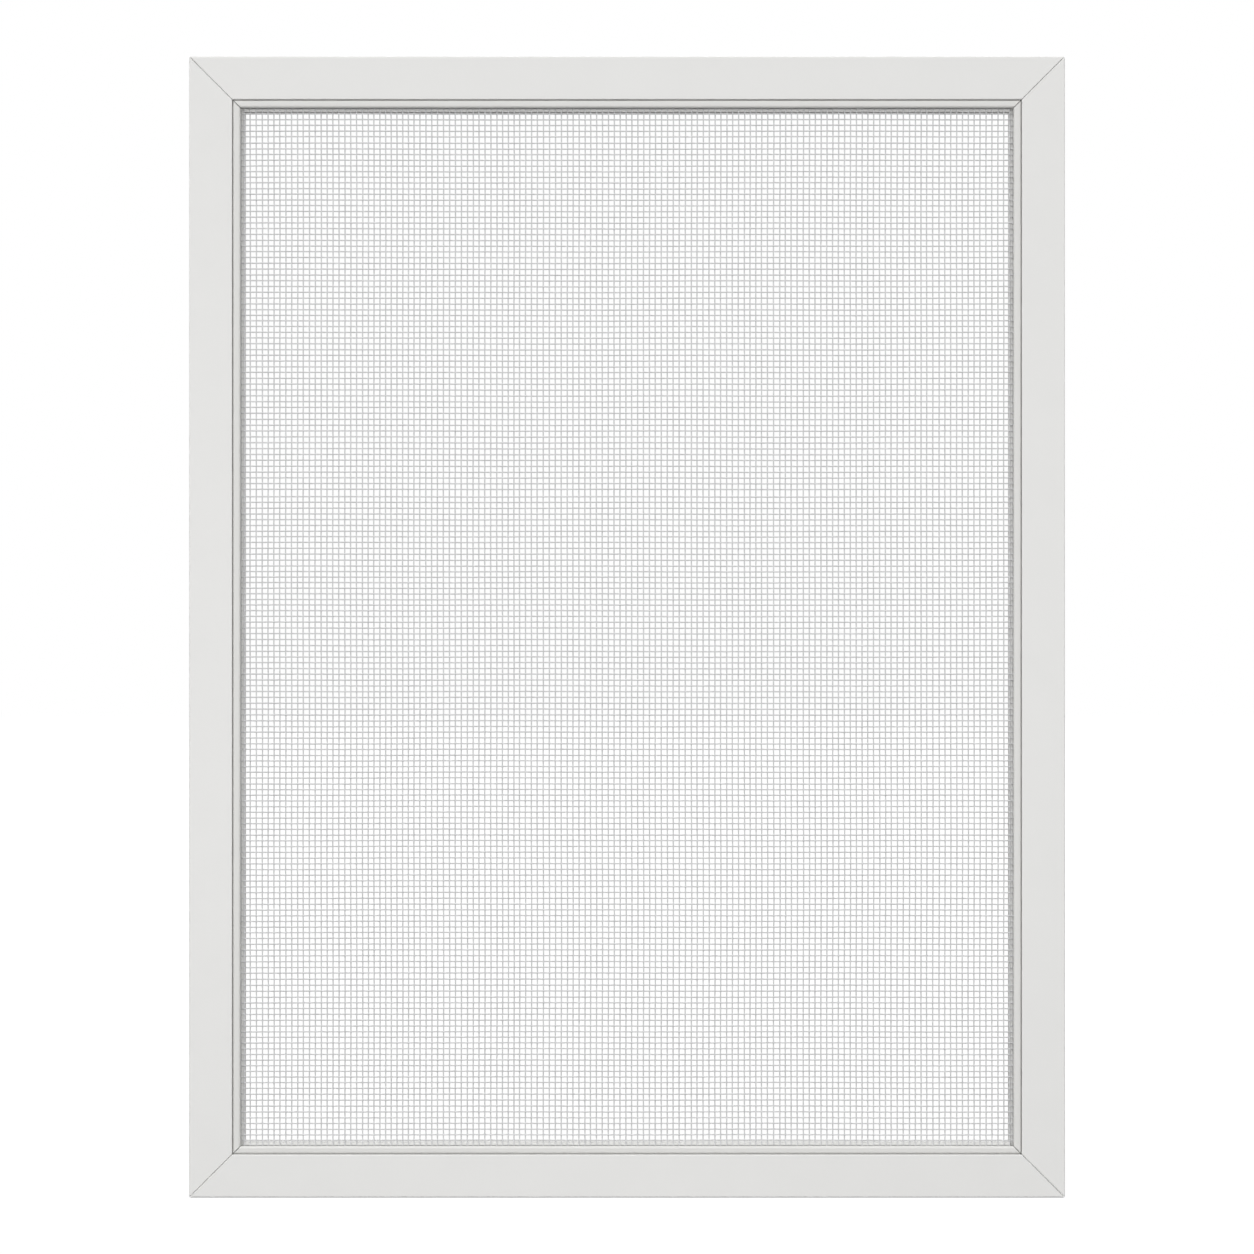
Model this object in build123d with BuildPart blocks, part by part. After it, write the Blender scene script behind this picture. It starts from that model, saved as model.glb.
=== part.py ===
from build123d import *
from math import floor, sqrt
import os

# Window insect screen: four mitred hollow rails joined by corner keys, with one piece of woven mesh
# held in a groove by four pushed-in retaining beads. Millimetres. The screen stands upright, its
# front faces -Y, X runs across it and Z runs up. The origin is the middle of its bottom edge.

# Frame, outside to outside
frame_width = 307.0
frame_height = 400.0
frame_depth = 8.0
corner_radius = 0.8

# Rail section, counted inward from the outer edge of the frame
face_width = 15.1
wall = 1.2
groove_width = 2.9
groove_floor = 1.4
lip_width = 1.05
lip_setback = 2.9
outer_edge_radius = 0.5
inner_edge_radius = 0.35
lip_edge_radius = 0.25
chamber_radius = 0.3
mitre_bevel = 0.3
mitre_gap = 0.12

# Woven mesh
thread_diameter = 0.46
thread_relief = 0.18
thread_flank = 60.0
warp_pitch = 2.068
weft_pitch = 2.025
mesh_web = 0.1
edge_margin = 0.5
gap_columns = 10
gap_rows = 12
edge_band = 2.5
thread_inset = 0.05

# Edge of the mesh, tucked into the groove under the bead
tuck_thickness = 0.4
tuck_tail = 2.6
tuck_bend_radius = 0.25

# Retaining bead
bead_gap = 0.15
bead_inner_gap = 0.1
bead_recess = 0.45
bead_rest_clearance = 0.1
bead_inner_radius = 0.8
bead_outer_radius = 0.8
bead_bevel = 0.18
bead_mitre_gap = 0.2
barb_clearance = 0.05
barb_reach = 0.25
barb_height = 0.9
barb_pitch = 1.25
tongue_clearance = 0.1

# Corner key
key_reach = 42.0
key_clearance = 0.1
key_tooth_depth = 0.6
key_tooth_pitch = 3.5
key_tooth_root = 2.0
key_lead_in = 1.5
key_web = 1.9
key_rib = 1.8

# Levels along the depth, counted forward from the middle of the frame
front = frame_depth / 2
back = -frame_depth / 2
groove_bottom = back + groove_floor
lip_front = front - lip_setback
mesh_front = lip_front + 2 * thread_relief + mesh_web

# Places across a rail, counted inward from the outer edge of the frame
groove_inner = face_width + groove_width
groove_middle = face_width + groove_width / 2
rail_width = groove_inner + lip_width
chamber_inner = face_width - wall
mitre_setback = mitre_gap / sqrt(2)

# Frame corners in turn. At each one x and y run inward along the two rails and z points to the front.
half_width = frame_width / 2
corners = {
    "bottom_left": Plane(origin=(-half_width, 0, 0), x_dir=(1, 0, 0), z_dir=(0, -1, 0)),
    "bottom_right": Plane(origin=(half_width, 0, 0), x_dir=(0, 0, 1), z_dir=(0, -1, 0)),
    "top_right": Plane(origin=(half_width, 0, frame_height), x_dir=(-1, 0, 0), z_dir=(0, -1, 0)),
    "top_left": Plane(origin=(-half_width, 0, frame_height), x_dir=(0, 0, -1), z_dir=(0, -1, 0)),
}

# Each side of the frame: its rail, its bead, the corners that it runs between and its two lengths
sides = [
    ("bottom_rail", "bead_bottom", "bottom_left", "bottom_right", frame_width, frame_height),
    ("right_stile", "bead_right", "bottom_right", "top_right", frame_height, frame_width),
    ("top_rail", "bead_top", "top_right", "top_left", frame_width, frame_height),
    ("left_stile", "bead_left", "top_left", "bottom_left", frame_height, frame_width),
]


def side_planes(start, length):
    """Planes of one side, at the middle of its outer edge: the plan seen from the front, with x along
    the side and y inward, and the cross-section, with x inward and y forward."""
    middle = start.from_local_coords(Vector(length / 2, 0, 0))
    plan = Plane(origin=middle, x_dir=start.x_dir, z_dir=start.z_dir)
    section = Plane(origin=middle, x_dir=start.y_dir, z_dir=start.x_dir)
    return plan, section


def mitre_line(corner, level):
    """Plane square to the mitre line of a corner, with its origin on that line at a level forward."""
    start = corner.from_local_coords(Vector(0, 0, level))
    return Plane(origin=start, x_dir=corner.x_dir - corner.y_dir, z_dir=corner.x_dir + corner.y_dir)


def build_rail(label, start, finish, length, across):
    """A hollow extruded rail with a groove and a lip along its inner side, mitred at both ends."""
    plan, section = side_planes(start, length)
    with BuildPart() as rail:
        with BuildSketch(section) as profile:
            with BuildLine():
                Polyline(
                    (0, back),
                    (0, front),
                    (face_width, front),
                    (face_width, groove_bottom),
                    (groove_inner, groove_bottom),
                    (groove_inner, lip_front),
                    (rail_width, lip_front),
                    (rail_width, back),
                    close=True,
                )
            make_face()
            fillet(profile.vertices().group_by(Axis.X)[0], outer_edge_radius)
            fillet(profile.vertices().sort_by_distance((face_width, front))[0], inner_edge_radius)
            fillet(profile.vertices().group_by(Axis.X)[-1], lip_edge_radius)
            with Locations(((wall + chamber_inner) / 2, 0)):
                RectangleRounded(
                    chamber_inner - wall, frame_depth - 2 * wall, chamber_radius, mode=Mode.SUBTRACT
                )
        extrude(amount=length / 2, both=True)
        # The mitred ends, with a hairline gap at each joint, and the slightly rounded frame corners
        with BuildSketch(plan):
            end = length / 2 - mitre_setback
            Polygon((-end, 0), (end, 0), (end - rail_width, rail_width), (rail_width - end, rail_width))
            with Locations((0, across / 2)):
                RectangleRounded(length, across, corner_radius, mode=Mode.INTERSECT)
        extrude(amount=frame_depth, both=True, mode=Mode.INTERSECT)
        # A fine bevel along both mitres, front and back
        with BuildSketch(*[mitre_line(end, level) for end in (start, finish) for level in (front, back)]):
            Rectangle(mitre_bevel * sqrt(2), mitre_bevel * sqrt(2), rotation=45)
        extrude(amount=rail_width * sqrt(2), mode=Mode.SUBTRACT)
    rail.part.label = label
    return rail.part


# Retaining bead: its head, and the barbed tongue that fills the groove between the tucked mesh edges
bead_top = front - bead_recess
bead_outer = face_width + bead_gap
bead_inner = groove_inner - bead_inner_gap
bead_underside = mesh_front + bead_rest_clearance
tongue_end = groove_bottom + tuck_thickness + tongue_clearance
tongue_length = bead_underside - tongue_end
barb_width = groove_width - 2 * tuck_thickness - 2 * barb_clearance
neck_width = barb_width - 2 * barb_reach
barb_count = floor(tongue_length / barb_pitch)
bead_setback = bead_mitre_gap / sqrt(2)


def build_bead(label, start, finish, length):
    """A retaining bead with a rounded head and a barbed tongue, mitred at both ends."""
    plan, section = side_planes(start, length)
    with BuildPart() as bead:
        with BuildSketch(section) as profile:
            with Locations((bead_outer, bead_top)):
                Rectangle(
                    bead_inner - bead_outer, bead_top - bead_underside, align=(Align.MIN, Align.MAX)
                )
            fillet(profile.vertices().sort_by_distance((bead_inner, bead_top))[0], bead_inner_radius)
            fillet(profile.vertices().sort_by_distance((bead_outer, bead_top))[0], bead_outer_radius)
            with Locations((groove_middle, bead_underside)):
                Rectangle(neck_width, tongue_length, align=(Align.CENTER, Align.MAX))
            with Locations(*[(groove_middle, tongue_end + n * barb_pitch) for n in range(barb_count)]):
                Polygon(
                    (-neck_width / 2, 0),
                    (neck_width / 2, 0),
                    (barb_width / 2, barb_height),
                    (-barb_width / 2, barb_height),
                )
        extrude(amount=length / 2, both=True)
        with BuildSketch(plan):
            end = length / 2 - bead_setback
            Polygon(
                (face_width - end, face_width),
                (end - face_width, face_width),
                (end - rail_width, rail_width),
                (rail_width - end, rail_width),
            )
        extrude(amount=frame_depth, both=True, mode=Mode.INTERSECT)
        with BuildSketch(mitre_line(start, bead_top), mitre_line(finish, bead_top)):
            Rectangle(bead_bevel * sqrt(2), bead_bevel * sqrt(2), rotation=45)
        extrude(amount=rail_width * sqrt(2), mode=Mode.SUBTRACT)
    bead.part.label = label
    return bead.part


# Corner key: it fills the two chambers that meet at a corner, with a small clearance, and is thin
# enough for its square edges to clear the chambers' rounded corners
key_outer = wall + key_clearance
key_inner = chamber_inner - key_clearance
key_middle = (key_outer + key_inner) / 2
key_core_outer = key_outer + key_tooth_depth
key_core_inner = key_inner - key_tooth_depth
key_end = wall + key_reach
key_corner_clearance = key_clearance + chamber_radius * (1 - sqrt(1 / 2))
key_thickness = frame_depth - 2 * wall - 2 * key_corner_clearance
key_pocket_depth = (key_thickness - key_web) / 2
tooth_count = floor((key_end - key_lead_in - chamber_inner) / key_tooth_pitch)
pocket_start = chamber_inner + key_rib
pocket_length = (key_end - key_lead_in - 2 * key_rib - pocket_start) / 2
pocket_width = key_core_inner - key_core_outer - 2 * key_rib
diagonal = Plane(origin=(0, 0, 0), z_dir=(1, -1, 0))


def build_key(label, corner):
    """An L-shaped moulded key with saw teeth on both edges of each leg and pockets in both faces."""
    with BuildPart() as key:
        with BuildSketch(corner):
            with Locations((key_outer, key_outer)):
                Rectangle(key_inner - key_outer, key_inner - key_outer, align=Align.MIN)
            with Locations((key_outer, key_core_outer)):
                Rectangle(key_end - key_outer, key_core_inner - key_core_outer, align=Align.MIN)
            with Locations(*[(chamber_inner + n * key_tooth_pitch, 0) for n in range(tooth_count)]):
                Polygon((0, key_outer), (key_tooth_root, key_core_outer), (0, key_core_outer))
                Polygon((0, key_inner), (key_tooth_root, key_core_inner), (0, key_core_inner))
            mirror(about=diagonal)
        extrude(amount=key_thickness / 2, both=True)
        # Two pockets in each leg, in the front face and in the back face
        for level in (key_thickness / 2, -key_thickness / 2):
            with BuildSketch(corner.offset(level)):
                second_start = pocket_start + pocket_length + key_rib
                with Locations((pocket_start, key_middle), (second_start, key_middle)):
                    Rectangle(pocket_length, pocket_width, align=(Align.MIN, Align.CENTER))
                mirror(about=diagonal)
            extrude(amount=-key_pocket_depth if level > 0 else key_pocket_depth, mode=Mode.SUBTRACT)
        # Tapered lead-in at the end of each leg
        leg_ends = [
            key.faces().sort_by(Axis(corner.origin, leg_direction))[-1]
            for leg_direction in (corner.x_dir, corner.y_dir)
        ]
        chamfer([edge for leg_end in leg_ends for edge in leg_end.edges()], key_lead_in)
    key.part.label = label
    return key.part


# Mesh: a thin web open in a plain grid of gaps. Each band left between two gaps is as wide as the
# threads of one step laid side by side, so the gaps let through as much as the weave does. The threads
# that lie whole on the bands stand proud of them at their true spacing, warp in front and weft behind.
field_width = frame_width - 2 * groove_inner
field_height = frame_height - 2 * groove_inner
web_back = lip_front + thread_relief
web_front = web_back + mesh_web
path_half_width = half_width - groove_middle
on_its_base = (Align.CENTER, Align.MIN)


def mesh_grid(field, pitch, gaps):
    """Across one direction of the mesh: the step between gaps, the size of a gap, and the places of
    the threads that lie whole on the bands, counted from the middle."""
    threads_per_step = floor((field - 2 * edge_band) / (gaps * pitch - thread_diameter))
    step = threads_per_step * pitch
    gap = threads_per_step * (pitch - thread_diameter)
    threads_each_side = floor((field / 2 - edge_margin) / pitch)
    gap_middles = [(n - (gaps - 1) / 2) * step for n in range(gaps)]
    clear = (gap + thread_diameter) / 2 + thread_inset
    threads = [
        n * pitch
        for n in range(-threads_each_side, threads_each_side + 1)
        if all(abs(n * pitch - middle) >= clear for middle in gap_middles)
    ]
    return step, gap, threads


column_step, gap_width, warp_places = mesh_grid(field_width, warp_pitch, gap_columns)
row_step, gap_height, weft_places = mesh_grid(field_height, weft_pitch, gap_rows)

with BuildPart() as mesh:
    # The tucked edge: down the groove's inner wall, across its floor and up its outer wall
    with BuildLine(Plane.XZ) as groove_path:
        Polyline(
            (0, groove_middle),
            (path_half_width, groove_middle),
            (path_half_width, frame_height - groove_middle),
            (-path_half_width, frame_height - groove_middle),
            (-path_half_width, groove_middle),
            close=True,
        )
    with BuildSketch(side_planes(corners["bottom_left"], frame_width)[1]) as tuck:
        with BuildLine():
            Polyline(
                (groove_inner, mesh_front),
                (groove_inner - tuck_thickness, mesh_front),
                (groove_inner - tuck_thickness, groove_bottom + tuck_thickness),
                (face_width + tuck_thickness, groove_bottom + tuck_thickness),
                (face_width + tuck_thickness, groove_bottom + tuck_tail),
                (face_width, groove_bottom + tuck_tail),
                (face_width, groove_bottom),
                (groove_inner, groove_bottom),
                close=True,
            )
        make_face()
        bend = tuck.vertices().sort_by_distance((groove_inner - tuck_thickness, mesh_front))[0]
        fillet(bend, tuck_bend_radius)
    sweep(path=groove_path.wire(), transition=Transition.RIGHT)
    # The web, with its grid of gaps
    with BuildSketch(Plane.XZ.offset(web_back)):
        with Locations((0, frame_height / 2)):
            Rectangle(field_width, field_height)
            with GridLocations(column_step, row_step, gap_columns, gap_rows):
                Rectangle(gap_width, gap_height, mode=Mode.SUBTRACT)
    extrude(amount=mesh_web)
    # Warp threads on the upright bands, standing proud of the front of the web
    with BuildSketch(Plane.XY.offset(groove_inner)):
        with Locations(*[(place, -web_front) for place in warp_places]):
            Trapezoid(thread_diameter, thread_relief, thread_flank, rotation=180, align=on_its_base)
    extrude(amount=field_height)
    # Weft threads on the level bands, standing proud of its back
    with BuildSketch(Plane.YZ.offset(-field_width / 2)):
        with Locations(*[(-web_back, frame_height / 2 + place) for place in weft_places]):
            Trapezoid(thread_diameter, thread_relief, thread_flank, rotation=-90, align=on_its_base)
    extrude(amount=field_width)
mesh.part.label = "mesh"

parts = [mesh.part]
for rail_label, bead_label, start, finish, length, across in sides:
    parts.append(build_rail(rail_label, corners[start], corners[finish], length, across))
    parts.append(build_bead(bead_label, corners[start], corners[finish], length))
for corner_name, corner in corners.items():
    parts.append(build_key("corner_key_" + corner_name, corner))

os.makedirs("parts", exist_ok=True)
for part in parts:
    export_step(part, f"parts/{part.label}.step")
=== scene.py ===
import math

import bpy
import numpy as np
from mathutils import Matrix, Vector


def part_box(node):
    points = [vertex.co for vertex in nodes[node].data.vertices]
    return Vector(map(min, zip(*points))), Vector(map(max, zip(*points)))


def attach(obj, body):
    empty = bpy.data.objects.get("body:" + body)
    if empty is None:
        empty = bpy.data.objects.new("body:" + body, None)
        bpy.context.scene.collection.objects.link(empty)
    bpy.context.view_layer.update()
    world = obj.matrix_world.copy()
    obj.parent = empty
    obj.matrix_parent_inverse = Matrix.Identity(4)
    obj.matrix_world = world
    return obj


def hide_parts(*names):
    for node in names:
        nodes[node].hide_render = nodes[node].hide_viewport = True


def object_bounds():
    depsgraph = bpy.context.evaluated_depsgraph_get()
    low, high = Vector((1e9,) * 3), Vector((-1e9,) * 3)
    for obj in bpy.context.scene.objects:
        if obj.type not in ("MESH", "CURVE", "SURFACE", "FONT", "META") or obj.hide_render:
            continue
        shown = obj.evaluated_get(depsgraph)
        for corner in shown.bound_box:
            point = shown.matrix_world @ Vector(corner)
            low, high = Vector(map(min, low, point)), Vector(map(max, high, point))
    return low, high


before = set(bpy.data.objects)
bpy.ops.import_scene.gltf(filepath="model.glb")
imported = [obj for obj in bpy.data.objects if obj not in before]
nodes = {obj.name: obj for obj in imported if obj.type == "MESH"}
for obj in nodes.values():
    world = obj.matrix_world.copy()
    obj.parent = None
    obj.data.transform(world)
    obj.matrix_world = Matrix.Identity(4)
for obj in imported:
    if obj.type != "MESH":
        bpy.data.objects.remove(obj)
cad_low, cad_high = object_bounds()


# The camera stands straight in front of the screen, at half its height, and the picture is square.
# It is far enough back that only a little of the frame's inner side shows past its front edge.
PICTURE_PX = 1254.0
SCREEN_WIDE_PX = 876.1
CAMERA_DISTANCE = 1.1
SENSOR_WIDTH = 36.0

screen_wide = cad_high.x - cad_low.x
screen_high = cad_high.z - cad_low.z
picture_wide = screen_wide * PICTURE_PX / SCREEN_WIDE_PX

camera_data = bpy.data.cameras.new("camera")
camera_data.sensor_width = SENSOR_WIDTH
camera_data.lens = SENSOR_WIDTH * CAMERA_DISTANCE / picture_wide
camera = bpy.data.objects.new("camera", camera_data)
camera.location = (0.0, cad_low.y - CAMERA_DISTANCE, cad_low.z + screen_high / 2)
camera.rotation_euler = (math.pi / 2, 0.0, 0.0)
bpy.context.scene.collection.objects.link(camera)
bpy.context.scene.camera = camera
bpy.context.scene.view_settings.view_transform = "Standard"


# Soft studio light: an even glow from all round, a large far lamp high in front, a small weak one
# low in front, one at each side and one behind. The camera, glossy and transmitted rays see plain
# white behind the screen.
GLOW = 0.48
LAMPS = {
    "high_lamp": {"side": 5.0, "power": 325.0, "place": (-2.7, -6.2, 9.0)},
    "low_lamp": {"side": 0.16, "power": 2.65, "place": (-0.05, -1.1, 0.09)},
    "left_lamp": {"side": 1.6, "power": 39.0, "place": (-3.0, -2.3, 0.9)},
    "right_lamp": {"side": 1.6, "power": 33.0, "place": (3.0, -2.3, 0.9)},
    "back_lamp": {"side": 3.0, "power": 125.0, "place": (0.8, 4.2, 4.6)},
}


def link(tree, start, finish):
    """Joins an output socket to an input socket."""
    tree.links.new(start, finish)


def seen_by(tree, kinds):
    """1 for the rays of the kinds named, and 0 for all others."""
    path = tree.nodes.new("ShaderNodeLightPath")
    total = path.outputs[kinds[0]]
    for kind in kinds[1:]:
        larger = tree.nodes.new("ShaderNodeMath")
        larger.operation = "MAXIMUM"
        link(tree, total, larger.inputs[0])
        link(tree, path.outputs[kind], larger.inputs[1])
        total = larger.outputs["Value"]
    return total


world = bpy.data.worlds.new("studio")
world.use_nodes = True
bpy.context.scene.world = world
world_tree = world.node_tree
world_tree.nodes.clear()
glow = world_tree.nodes.new("ShaderNodeBackground")
glow.inputs["Color"].default_value = (1.0, 1.0, 1.0, 1.0)
glow.inputs["Strength"].default_value = GLOW
white = world_tree.nodes.new("ShaderNodeBackground")
white.inputs["Color"].default_value = (1.0, 1.0, 1.0, 1.0)
white.inputs["Strength"].default_value = 1.0
mixed = world_tree.nodes.new("ShaderNodeMixShader")
world_output = world_tree.nodes.new("ShaderNodeOutputWorld")
looking_rays = ("Is Camera Ray", "Is Glossy Ray", "Is Transmission Ray")
link(world_tree, seen_by(world_tree, looking_rays), mixed.inputs["Fac"])
link(world_tree, glow.outputs["Background"], mixed.inputs[1])
link(world_tree, white.outputs["Background"], mixed.inputs[2])
link(world_tree, mixed.outputs["Shader"], world_output.inputs["Surface"])


def soft_lamp(name, side, power, place):
    """A square lamp at a place, turned to face the middle of the screen and hidden from the
    camera."""
    data = bpy.data.lights.new(name, "AREA")
    data.shape = "SQUARE"
    data.size = side
    data.energy = power
    lamp = bpy.data.objects.new(name, data)
    lamp.visible_camera = False
    lamp.location = place
    x, y, z = -place[0], -place[1], camera.location.z - place[2]
    lamp.rotation_euler = (math.atan2(math.hypot(x, y), -z), 0.0, math.atan2(-x, y))
    bpy.context.scene.collection.objects.link(lamp)


for lamp_name, lamp_sizes in LAMPS.items():
    soft_lamp(lamp_name, **lamp_sizes)


# The floor that the screen stands on: a plain sheet. Seen by the camera it adds its own white to what
# light falls on it, so that it joins the white ground and only a contact shadow is left.
MM = 0.001
FLOOR_SIDE = 12.0
FLOOR_LINE_POINTS = 3
FLOOR_DROP = 0.05 * MM
FLOOR_COLOUR = (0.15, 0.15, 0.15, 1.0)
FLOOR_OWN_WHITE = 0.89


def grid_mesh(name, points):
    """A surface through a grid of points: row r and column c of the array is one vertex, and each
    face joins two neighbours in a row with the same two in the next row."""
    rows, columns = points.shape[:2]
    mesh = bpy.data.meshes.new(name)
    index = np.arange(rows * columns).reshape(rows, columns)
    corners = [index[:-1, :-1], index[:-1, 1:], index[1:, 1:], index[1:, :-1]]
    faces = np.stack(corners, axis=-1).reshape(-1, 4)
    mesh.from_pydata(points.reshape(-1, 3).tolist(), [], faces.tolist())
    mesh.update()
    return mesh


floor_line = np.linspace(-FLOOR_SIDE / 2, FLOOR_SIDE / 2, FLOOR_LINE_POINTS)
floor_y, floor_x = np.meshgrid(floor_line, floor_line, indexing="ij")
floor_points = np.stack([floor_x, floor_y, np.full_like(floor_x, cad_low.z - FLOOR_DROP)], axis=-1)
floor = bpy.data.objects.new("floor", grid_mesh("floor", floor_points))
bpy.context.scene.collection.objects.link(floor)

floor_material = bpy.data.materials.new("white_floor")
floor_material.use_nodes = True
floor_tree = floor_material.node_tree
floor_tree.nodes.clear()
floor_diffuse = floor_tree.nodes.new("ShaderNodeBsdfDiffuse")
floor_diffuse.inputs["Color"].default_value = FLOOR_COLOUR
floor_white = floor_tree.nodes.new("ShaderNodeEmission")
floor_white.inputs["Strength"].default_value = FLOOR_OWN_WHITE
floor_dark = floor_tree.nodes.new("ShaderNodeEmission")
floor_dark.inputs["Strength"].default_value = 0.0
floor_own = floor_tree.nodes.new("ShaderNodeMixShader")
floor_sum = floor_tree.nodes.new("ShaderNodeAddShader")
floor_output = floor_tree.nodes.new("ShaderNodeOutputMaterial")
floor_rays = ("Is Camera Ray", "Is Transmission Ray")
link(floor_tree, seen_by(floor_tree, floor_rays), floor_own.inputs["Fac"])
link(floor_tree, floor_dark.outputs["Emission"], floor_own.inputs[1])
link(floor_tree, floor_white.outputs["Emission"], floor_own.inputs[2])
link(floor_tree, floor_diffuse.outputs["BSDF"], floor_sum.inputs[0])
link(floor_tree, floor_own.outputs["Shader"], floor_sum.inputs[1])
link(floor_tree, floor_sum.outputs["Shader"], floor_output.inputs["Surface"])
floor.data.materials.append(floor_material)

# The low lamp stands so near the floor that it would burn a spot into it, so the floor is left out.
spared = bpy.data.collections.new("spared_by_low_lamp")
spared.objects.link(floor)
spared.collection_objects[0].light_linking.link_state = "EXCLUDE"
bpy.data.objects["low_lamp"].light_linking.receiver_collection = spared


# Frame: four extruded aluminium rails, hollow, mitred at 45 degrees and pushed onto corner keys.
# They are finished all over in a satin white-grey powder coat, with its faint orange-peel skin.
COAT_COLOUR = (0.80, 0.797, 0.783)
COAT_ROUGHNESS = 0.46
COAT_PEEL_PER_METRE = 900.0
COAT_GRAIN_PER_METRE = 5200.0
COAT_PEEL_HEIGHT = 0.012 * MM
DRIFT_PEELS = 12
SHINE_PEELS = 3
FINE_BUMP_SHARE = 0.25


def noise(tree, coordinates, per_metre, detail):
    """A noise texture on the given coordinates, with that many features a metre."""
    texture = tree.nodes.new("ShaderNodeTexNoise")
    texture.inputs["Scale"].default_value = per_metre
    texture.inputs["Detail"].default_value = detail
    link(tree, coordinates, texture.inputs["Vector"])
    return texture.outputs["Fac"]


def ranged(tree, value, low, high):
    """The value, spread from 0..1 to low..high."""
    spread = tree.nodes.new("ShaderNodeMapRange")
    spread.inputs["To Min"].default_value = low
    spread.inputs["To Max"].default_value = high
    link(tree, value, spread.inputs["Value"])
    return spread.outputs["Result"]


def surface_material(name, colour, roughness, peel, grain, height, tone=0.03, gloss=0.06):
    """A painted or moulded skin: its colour drifts over the length of several peels and its
    roughness over a few, and a bump of peel and lower, finer grain covers it."""
    material = bpy.data.materials.new(name)
    material.use_nodes = True
    tree = material.node_tree
    shader = tree.nodes["Principled BSDF"]
    place = tree.nodes.new("ShaderNodeTexCoord").outputs["Object"]
    tint = tree.nodes.new("ShaderNodeMix")
    tint.data_type = "RGBA"
    darker = [c * (1 - tone) for c in colour]
    tint.inputs["A"].default_value = (*darker, 1.0)
    tint.inputs["B"].default_value = (*colour, 1.0)
    link(tree, noise(tree, place, peel / DRIFT_PEELS, detail=3.0), tint.inputs["Factor"])
    link(tree, tint.outputs["Result"], shader.inputs["Base Color"])
    shine = noise(tree, place, peel / SHINE_PEELS, detail=2.0)
    link(tree, ranged(tree, shine, roughness - gloss, roughness + gloss), shader.inputs["Roughness"])
    coarse = tree.nodes.new("ShaderNodeBump")
    coarse.inputs["Distance"].default_value = height
    coarse.inputs["Strength"].default_value = 1.0
    fine = tree.nodes.new("ShaderNodeBump")
    fine.inputs["Distance"].default_value = height * FINE_BUMP_SHARE
    fine.inputs["Strength"].default_value = 1.0
    link(tree, noise(tree, place, peel, detail=1.0), coarse.inputs["Height"])
    link(tree, noise(tree, place, grain, detail=2.0), fine.inputs["Height"])
    link(tree, coarse.outputs["Normal"], fine.inputs["Normal"])
    link(tree, fine.outputs["Normal"], shader.inputs["Normal"])
    return material


def finish_node(name, material):
    """Gives a carried-over solid its material."""
    piece = nodes[name]
    piece.data.materials.clear()
    piece.data.materials.append(material)


powder_coat = surface_material(
    "powder_coat",
    COAT_COLOUR,
    COAT_ROUGHNESS,
    COAT_PEEL_PER_METRE,
    COAT_GRAIN_PER_METRE,
    COAT_PEEL_HEIGHT,
)
RAILS = ("bottom_rail", "top_rail", "left_stile", "right_stile")
for rail in RAILS:
    finish_node(rail, powder_coat)


# Corner keys: L-shaped pieces of moulded dark nylon with toothed arms, pushed into the chambers of
# the two rails that each one joins, where they can't be seen.
KEY_COLOUR = (0.10, 0.10, 0.105)
KEY_ROUGHNESS = 0.55
KEY_PEEL_PER_METRE = 870.0
KEY_GRAIN_PER_METRE = 2600.0
KEY_PEEL_HEIGHT = 0.02 * MM

moulded_nylon = surface_material(
    "moulded_nylon",
    KEY_COLOUR,
    KEY_ROUGHNESS,
    KEY_PEEL_PER_METRE,
    KEY_GRAIN_PER_METRE,
    KEY_PEEL_HEIGHT,
)
for corner in ("bottom_left", "bottom_right", "top_left", "top_right"):
    finish_node("corner_key_" + corner, moulded_nylon)


# Retaining beads: extruded matt vinyl strips, mitred at the corners and pushed into the groove over
# the edge of the mesh. They are drawn through a die, which leaves fine marks along them; the skin here
# has an even grain with no such direction.
BEAD_COLOUR = (0.735, 0.731, 0.711)
BEAD_ROUGHNESS = 0.52
BEAD_PEEL_PER_METRE = 1300.0
BEAD_GRAIN_PER_METRE = 6000.0
BEAD_PEEL_HEIGHT = 0.008 * MM

matt_vinyl = surface_material(
    "matt_vinyl",
    BEAD_COLOUR,
    BEAD_ROUGHNESS,
    BEAD_PEEL_PER_METRE,
    BEAD_GRAIN_PER_METRE,
    BEAD_PEEL_HEIGHT,
)
BEADS = ("bead_bottom", "bead_top", "bead_left", "bead_right")
for bead in BEADS:
    finish_node(bead, matt_vinyl)


# Mesh: plain-woven glass yarn in a light grey vinyl coat, which fuses it where threads cross. It is
# pulled flat over the frame's inner lip and its four edges are tucked into the groove. The warp runs
# up the screen and the weft across it, and each is made as two pieces.
THREAD_RADIUS = 0.23 * MM
THREAD_SIDES = 6
WALL_CORNERS = 4
THREAD_RISE = 0.10 * MM
WARP_PITCH = 2.068 * MM
WEFT_PITCH = 2.025 * MM
PITCH_UNEVENNESS = 0.03
SWAY = 0.10 * MM
SWAY_LENGTH = 0.09
SWAY_WAVES = 3
SWAY_SLANT = 0.6
WIDE_PICK_HEIGHT = 0.2468
WIDE_PICK_SHARE = 1.3
EDGE_MARGIN = 0.5 * MM
GROOVE_WIDTH = 2.9 * MM
LIP_SETBACK = 2.9 * MM
TUCK_RADIUS = 0.20 * MM
TUCK_BEND = 0.30 * MM
TUCK_TAIL = 2.6 * MM
ARC_STEPS = 4
THREAD_SEED = 11

mesh_low, mesh_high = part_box("mesh")
groove_outer = mesh_low.x - cad_low.x
groove_inner = groove_outer + GROOVE_WIDTH
groove_bottom_y = mesh_high.y
lip_y = cad_low.y + LIP_SETBACK
cloth_y = lip_y - THREAD_RADIUS - THREAD_RISE
middle_z = cad_low.z + screen_high / 2


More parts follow.
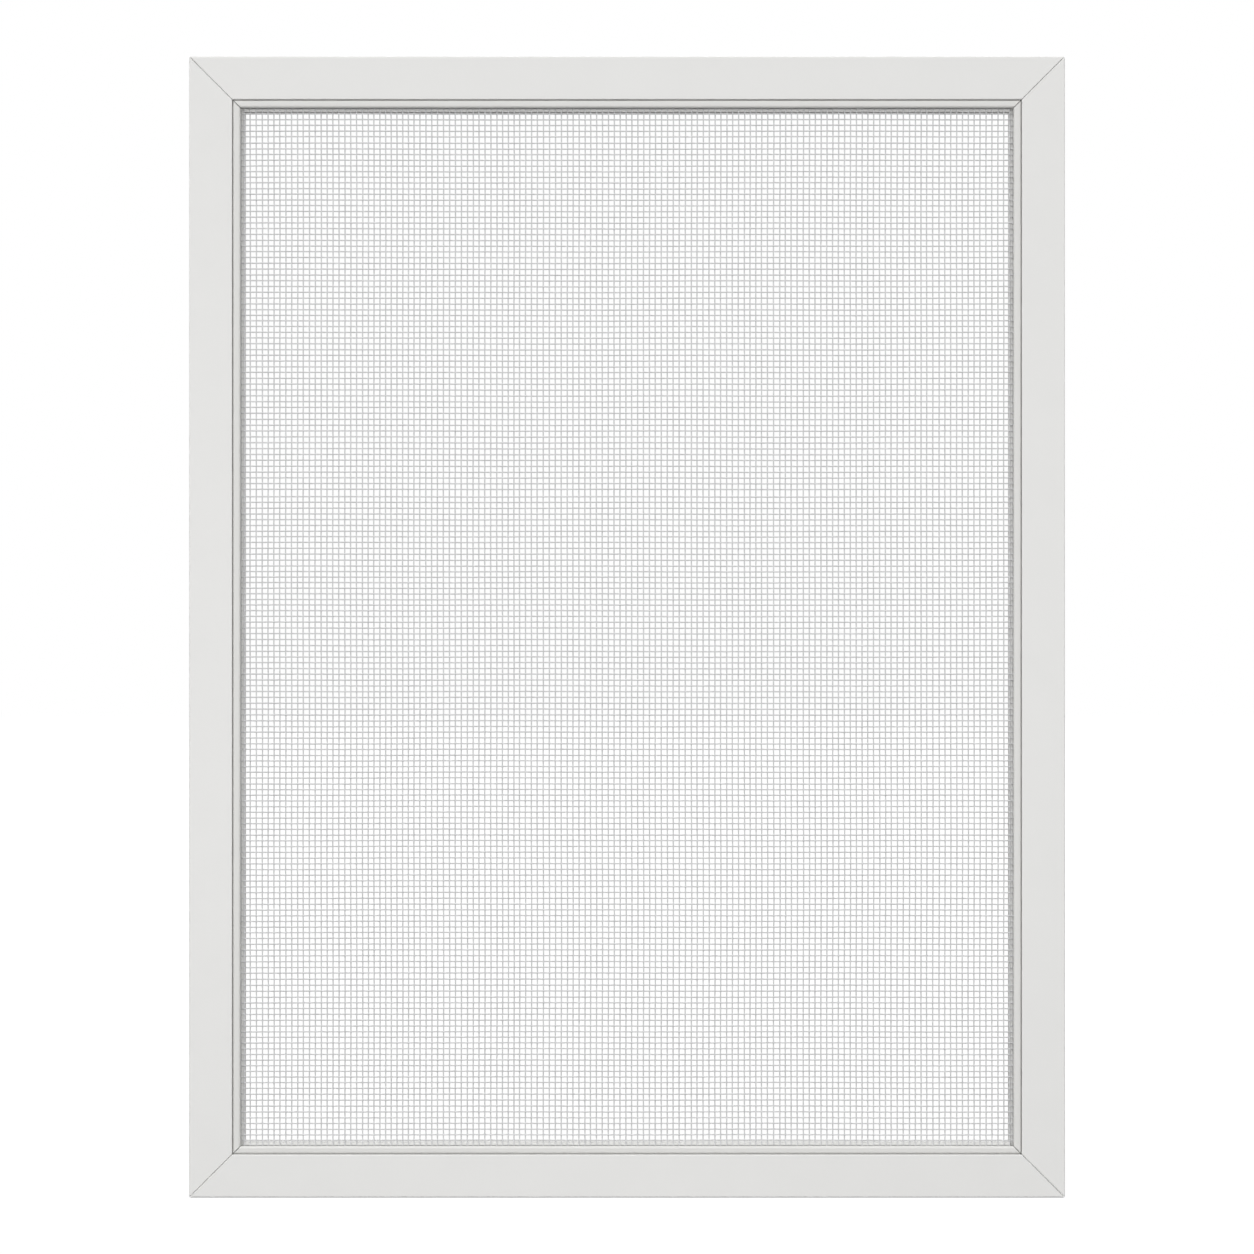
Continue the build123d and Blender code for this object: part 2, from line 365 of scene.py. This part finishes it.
def thread_count(span, pitch):
    """An odd number of threads, the middle one on the centre line, within a span."""
    return 2 * int((span / 2 - EDGE_MARGIN) / pitch) + 1


def thread_places(count, pitch, random, wide_at=None):
    """Places of the threads from the middle of the cloth: equal gaps, each a few percent uneven, and
    one of them wider, scaled to the cloth's width."""
    gaps = 1 + PITCH_UNEVENNESS * random.standard_normal(count - 1)
    if wide_at is not None:
        gaps[int(round(wide_at / pitch + (count - 1) / 2))] = WIDE_PICK_SHARE
    gaps *= (count - 1) * pitch / gaps.sum()
    return np.concatenate([[0.0], np.cumsum(gaps)]) - (count - 1) * pitch / 2


def sway(across, along, random):
    """A slow drift of threads: the mean of a few sine waves of random phase and slant, the last of
    them SWAY_LENGTH long and the first that many times longer."""
    total = np.zeros_like(across)
    for wave in range(SWAY_WAVES):
        phase = random.uniform(0, 2 * np.pi)
        slant = random.uniform(-SWAY_SLANT, SWAY_SLANT)
        slanted = along + slant * across
        total += np.sin(2 * np.pi * (wave + 1) * slanted / SWAY_LENGTH / SWAY_WAVES + phase)
    return SWAY * total / SWAY_WAVES


random = np.random.default_rng(THREAD_SEED)
warp_count = thread_count(screen_wide - 2 * groove_inner, WARP_PITCH)
weft_count = thread_count(screen_high - 2 * groove_inner, WEFT_PITCH)
warp_places = thread_places(warp_count, WARP_PITCH, random)
weft_places = thread_places(weft_count, WEFT_PITCH, random, WIDE_PICK_HEIGHT - screen_high / 2)
plain_x, plain_z = np.meshgrid(warp_places, weft_places, indexing="ij")
crossing_x = plain_x + sway(plain_x, plain_z, random)
crossing_z = middle_z + plain_z + sway(plain_z, plain_x, random)
warp_index, weft_index = np.indices(crossing_x.shape)
warp_side = np.where((warp_index + weft_index) % 2 == 0, 1.0, -1.0)


def arc(centre, radius, start, turn):
    """Points of a quarter turn or so about a centre: angles evenly spaced from start through turn."""
    angles = start + turn * np.linspace(0, 1, ARC_STEPS + 1)
    return np.stack([centre[0] + radius * np.cos(angles), centre[1] + radius * np.sin(angles)], axis=1)


def tucked_edge():
    """The line of a thread's end, from its cut end to the cloth, as inward distance and y: down the
    groove's outer wall, round to its floor, up its inner wall and over the lip."""
    outer = groove_outer + TUCK_RADIUS
    inner = groove_inner - TUCK_RADIUS
    low = groove_bottom_y - TUCK_RADIUS
    quarter = np.pi / 2
    return np.concatenate([
        [[outer, groove_bottom_y - TUCK_TAIL]],
        arc((outer + TUCK_BEND, low - TUCK_BEND), TUCK_BEND, np.pi, -quarter),
        arc((inner - TUCK_BEND, low - TUCK_BEND), TUCK_BEND, quarter, -quarter),
        arc((inner + TUCK_BEND, cloth_y + TUCK_BEND), TUCK_BEND, np.pi, quarter),
    ])


edge_line = tucked_edge()
edge_steps = np.linalg.norm(np.diff(edge_line, axis=0), axis=1)
edge_length = edge_steps.sum()


def on_edge(distance):
    """The point of the tucked edge at a distance from the cloth, as inward distance and y."""
    walked = np.concatenate([[0.0], np.cumsum(edge_steps[::-1])])
    return [np.interp(distance, walked, edge_line[::-1, column]) for column in (0, 1)]


def warp_lines(chosen):
    """Lines of whole warp threads: tucked end, every crossing in turn, tucked end. An array of
    thread by point by three."""
    x, z, side = crossing_x[chosen], crossing_z[chosen], warp_side[chosen]
    threads = len(x)
    down = np.empty((threads, len(edge_line), 3))
    down[..., 0] = x[:, :1]
    down[..., 1] = edge_line[:, 1]
    down[..., 2] = cad_low.z + edge_line[:, 0]
    up = down[:, ::-1].copy()
    up[..., 0] = x[:, -1:]
    up[..., 2] = cad_high.z - edge_line[::-1, 0]
    across = np.stack([x, cloth_y - side * THREAD_RISE, z], axis=-1)
    return np.concatenate([down, across, up], axis=1)


def weft_lines(chosen):
    """Lines of whole weft threads, as the warp's, but across the screen and on the other side of
    each crossing."""
    x, z, side = crossing_x.T[chosen], crossing_z.T[chosen], -warp_side.T[chosen]
    threads = len(x)
    left = np.empty((threads, len(edge_line), 3))
    left[..., 0] = cad_low.x + edge_line[:, 0]
    left[..., 1] = edge_line[:, 1]
    left[..., 2] = z[:, :1]
    right = left[:, ::-1].copy()
    right[..., 0] = cad_high.x - edge_line[::-1, 0]
    right[..., 2] = z[:, -1:]
    along = np.stack([x, cloth_y - side * THREAD_RISE, z], axis=-1)
    return np.concatenate([left, along, right], axis=1)


def edge_warps(sign):
    """Lines of the warp threads that lie in the groove of one stile, a pitch apart along the tuck."""
    deep = np.arange(1, int(edge_length / WARP_PITCH) + 1) * WARP_PITCH
    inward, y = on_edge(deep)
    z = crossing_z[0 if sign < 0 else -1]
    x = sign * (screen_wide / 2 - inward)
    shape = (len(deep), len(z))
    return np.stack([
        np.broadcast_to(x[:, None], shape), np.broadcast_to(y[:, None], shape), np.broadcast_to(z, shape)
    ], axis=-1)


def edge_wefts(sign):
    """Lines of the weft threads that lie in the groove of the bottom or top rail."""
    deep = np.arange(1, int(edge_length / WEFT_PITCH) + 1) * WEFT_PITCH
    inward, y = on_edge(deep)
    x = crossing_x[:, 0 if sign < 0 else -1]
    z = middle_z + sign * (screen_high / 2 - inward)
    shape = (len(deep), len(x))
    return np.stack([
        np.broadcast_to(x, shape), np.broadcast_to(y[:, None], shape), np.broadcast_to(z[:, None], shape)
    ], axis=-1)


def tubes(lines, side, first_strip, strips):
    """Round tubes along lines of points. A ring of points stands about each point of a line, square
    to it: the cosine of the angle along side and its sine along the other normal. Where a line lies
    in the groove the thread is squeezed thinner. Returns points, the faces' corners, the faces' sizes
    and a map with one strip for each thread."""
    tucked = lines[..., 1] > cloth_y + TUCK_BEND
    radius = np.where(tucked, TUCK_RADIUS, THREAD_RADIUS)[:, :, None, None]
    along = np.gradient(lines, axis=1)
    along /= np.linalg.norm(along, axis=2, keepdims=True)
    normal = np.cross(along, side)
    normal /= np.linalg.norm(normal, axis=2, keepdims=True)
    across = np.cross(normal, along)
    angles = 2 * np.pi * np.arange(THREAD_SIDES) / THREAD_SIDES
    rings = (
        lines[:, :, None]
        + radius * np.cos(angles)[:, None] * across[:, :, None]
        + radius * np.sin(angles)[:, None] * normal[:, :, None]
    )
    threads, steps = lines.shape[:2]
    index = np.arange(threads * steps * THREAD_SIDES).reshape(threads, steps, THREAD_SIDES)
    beside = np.roll(index, -1, axis=2)
    walls = np.stack([index[:, :-1], beside[:, :-1], beside[:, 1:], index[:, 1:]], axis=-1)
    caps = np.stack([index[:, 0, ::-1], index[:, -1]], axis=1)
    strip = np.arange(threads)[:, None, None] + first_strip
    turn = np.arange(THREAD_SIDES)[None, None, :] / THREAD_SIDES
    next_turn = turn + 1 / THREAD_SIDES
    up = np.arange(steps - 1)[None, :, None] / (steps - 1)
    next_up = up + 1 / (steps - 1)
    corners = [(turn, up), (next_turn, up), (next_turn, next_up), (turn, next_up)]
    shape = (threads, steps - 1, THREAD_SIDES)
    wall_map = np.stack([
        np.stack([
            np.broadcast_to((strip + a) / strips, shape), np.broadcast_to(b, shape)
        ], axis=-1)
        for a, b in corners
    ], axis=3)
    cap_turn = np.stack([turn[0, 0, ::-1], turn[0, 0]])
    cap_map = np.stack([
        np.broadcast_to((strip + cap_turn) / strips, (threads, 2, THREAD_SIDES)),
        np.broadcast_to(np.array([0.0, 1.0])[None, :, None], (threads, 2, THREAD_SIDES)),
    ], axis=-1)
    return (
        rings.reshape(-1, 3),
        np.concatenate([walls.ravel(), caps.ravel()]),
        np.concatenate([
            np.full(walls.size // WALL_CORNERS, WALL_CORNERS),
            np.full(caps.size // THREAD_SIDES, THREAD_SIDES),
        ]),
        np.concatenate([wall_map.reshape(-1, 2), cap_map.reshape(-1, 2)]),
    )


def thread_piece(name, groups, side):
    """One mesh of the tubes of several groups of lines."""
    strips = sum(len(lines) for lines in groups)
    points = []
    corners = []
    sizes = []
    maps = []
    first = 0
    offset = 0
    for lines in groups:
        p, c, s, m = tubes(lines, side, first, strips)
        points.append(p)
        corners.append(c + offset)
        sizes.append(s)
        maps.append(m)
        first += len(lines)
        offset += len(p)
    points, corners = np.concatenate(points), np.concatenate(corners)
    sizes, maps = np.concatenate(sizes), np.concatenate(maps)
    mesh = bpy.data.meshes.new(name)
    mesh.vertices.add(len(points))
    mesh.vertices.foreach_set("co", points.astype(np.float32).ravel())
    mesh.loops.add(len(corners))
    mesh.loops.foreach_set("vertex_index", corners.astype(np.int32))
    mesh.polygons.add(len(sizes))
    mesh.polygons.foreach_set("loop_start", (np.cumsum(sizes) - sizes).astype(np.int32))
    mesh.polygons.foreach_set("use_smooth", sizes == WALL_CORNERS)
    mesh.update(calc_edges=True)
    mesh.uv_layers.new(name="thread_map").data.foreach_set("uv", maps.astype(np.float32).ravel())
    mesh.validate()
    piece = bpy.data.objects.new(name, mesh)
    bpy.context.scene.collection.objects.link(piece)
    return piece


YARN_COLOUR = (0.705, 0.705, 0.712)
YARN_ROUGHNESS = 0.5
YARN_PEEL_PER_METRE = 2400.0
YARN_GRAIN_PER_METRE = 9000.0
YARN_PEEL_HEIGHT = 0.02 * MM
YARN_TONE = 0.16

coated_yarn = surface_material(
    "coated_yarn",
    YARN_COLOUR,
    YARN_ROUGHNESS,
    YARN_PEEL_PER_METRE,
    YARN_GRAIN_PER_METRE,
    YARN_PEEL_HEIGHT,
    tone=YARN_TONE,
)

half_warp = warp_count // 2
half_weft = weft_count // 2
ALONG_X = np.array([1.0, 0.0, 0.0])
ALONG_Z = np.array([0.0, 0.0, 1.0])
cloth_wide = screen_wide - 2 * groove_inner + 2 * edge_length
cloth_high = screen_high - 2 * groove_inner + 2 * edge_length
upright_half = (cloth_wide / 2, cloth_high)
level_half = (cloth_wide, cloth_high / 2)
cloth_parts = [
    ("mesh_warp_left", [edge_warps(-1), warp_lines(slice(None, half_warp))], ALONG_X, upright_half),
    ("mesh_warp_right", [warp_lines(slice(half_warp, None)), edge_warps(1)], ALONG_X, upright_half),
    ("mesh_weft_lower", [edge_wefts(-1), weft_lines(slice(None, half_weft))], ALONG_Z, level_half),
    ("mesh_weft_upper", [weft_lines(slice(half_weft, None)), edge_wefts(1)], ALONG_Z, level_half),
]
for name, groups, side, flat in cloth_parts:
    piece = thread_piece(name, groups, side)
    piece.data.materials.append(coated_yarn)
    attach(piece, "root")
    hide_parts("mesh")
